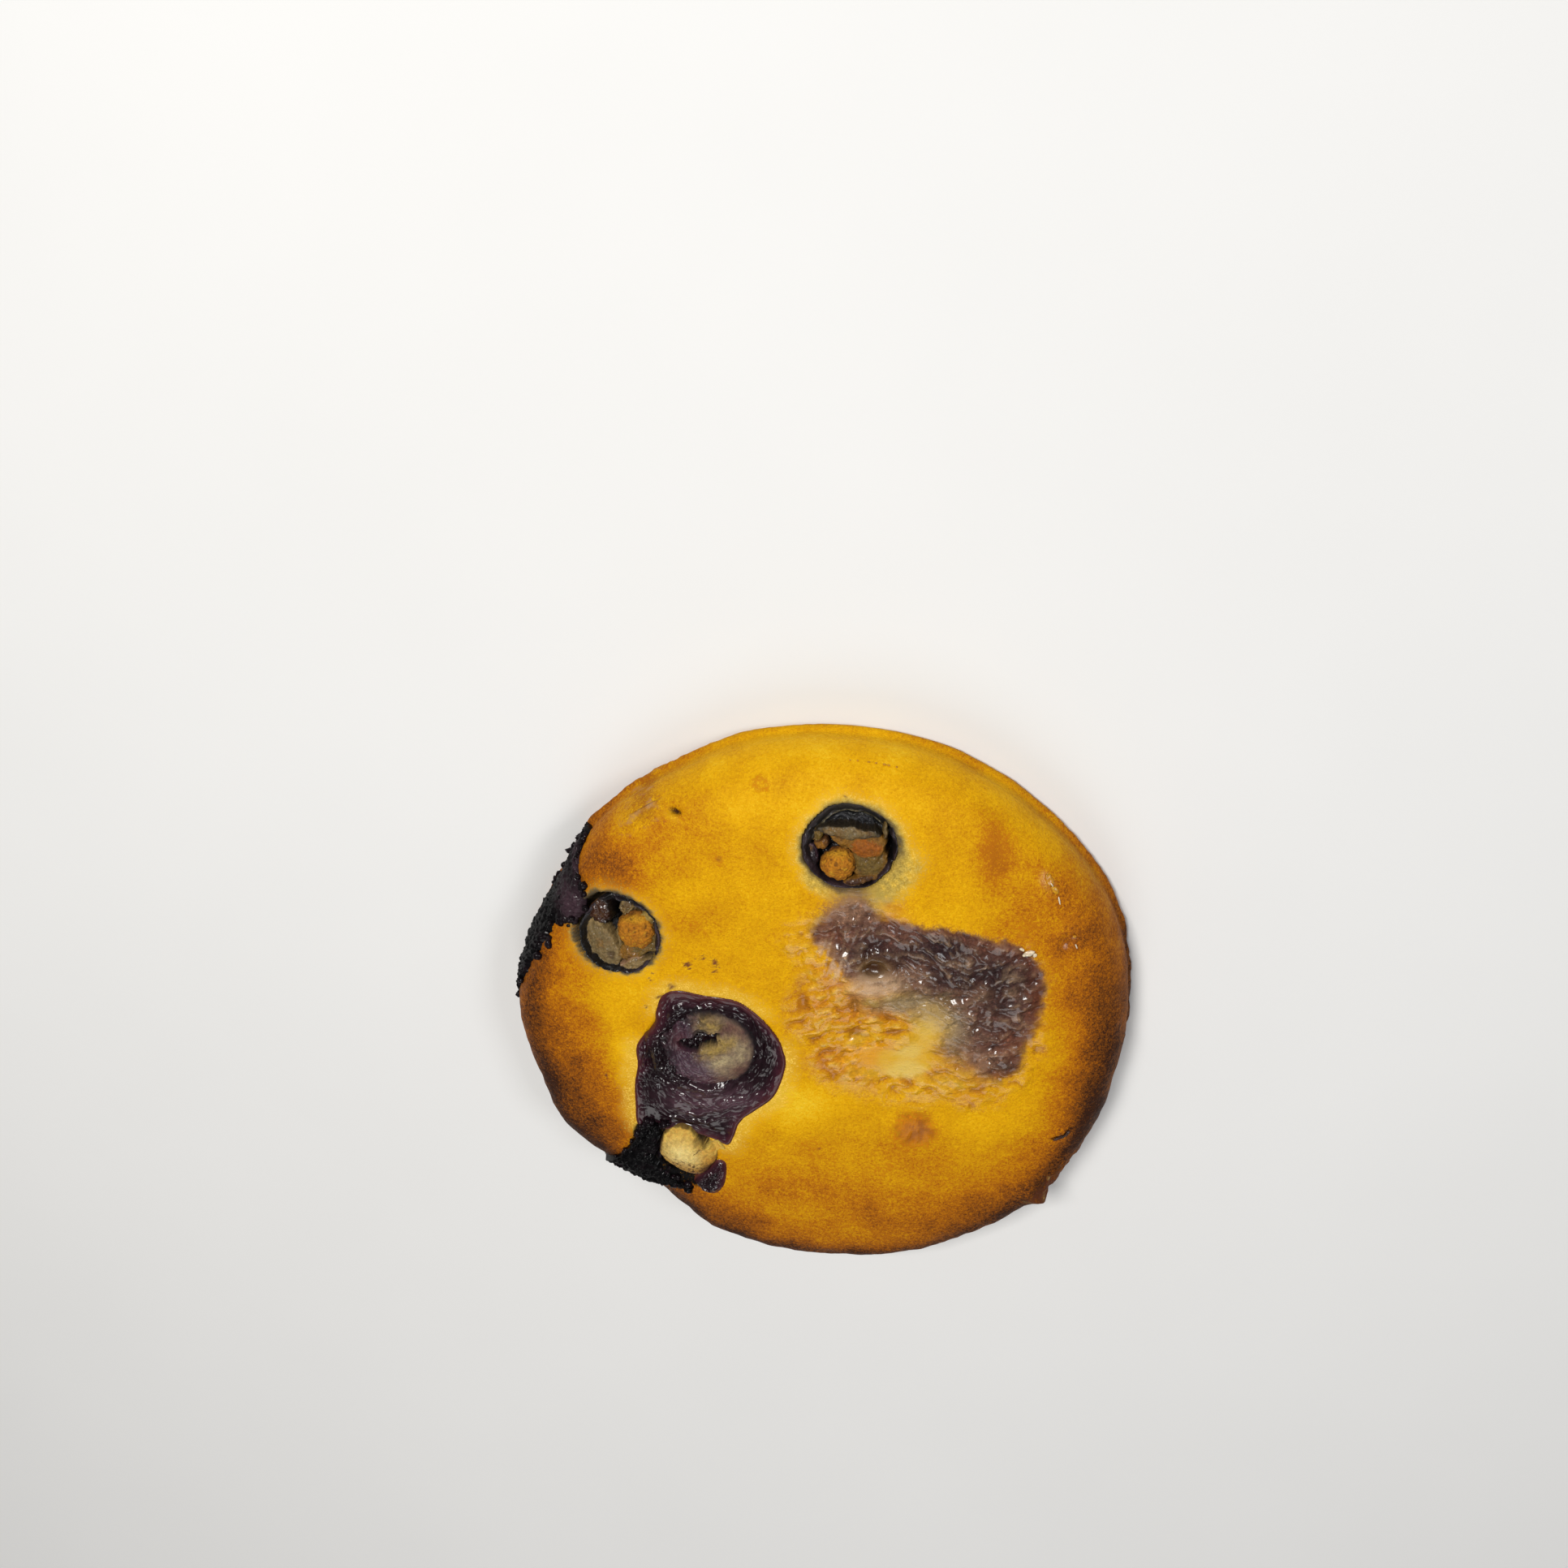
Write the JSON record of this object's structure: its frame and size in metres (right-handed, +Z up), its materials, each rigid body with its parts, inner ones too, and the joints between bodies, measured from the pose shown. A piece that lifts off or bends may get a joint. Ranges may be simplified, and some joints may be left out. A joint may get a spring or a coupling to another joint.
{
  "type": "blueberry pancake",
  "caption": "Small round baked pancake with a domed golden top, sunken whole and burst blueberries and baked-on juice, resting on its flat underside.",
  "frame": {"origin": "middle of the pancake's footprint, on the plane of its flat underside", "axes": "+Z up out of the browned top; +Y towards the edge nearest the single open berry; +X to the right when the top is seen from above with that berry furthest away"},
  "size_m": [0.0978, 0.0966, 0.0162],
  "materials": {
    "baked_batter": "soft baked crust, golden yellow browning to orange at the rim, slightly oily",
    "blueberry": "collapsed cooked skin and flesh, blue-black to grey-olive, moist",
    "batter_crumb": "rough toasted crumb",
    "berry_jam": "sticky wrinkled purple-maroon jam",
    "burnt_juice": "lumpy black caramelised juice"
  },
  "bodies": {
    "root": {"pancake_body": "baked_batter", "blueberry_top": "blueberry", "blueberry_left": "blueberry", "blueberry_burst": "blueberry", "blueberry_lower": "blueberry", "crumb_top": "batter_crumb", "crumb_left": "batter_crumb", "juice_pool": "berry_jam", "juice_crust_left": "burnt_juice", "juice_crust_lower": "burnt_juice"}
  },
  "joints": []
}
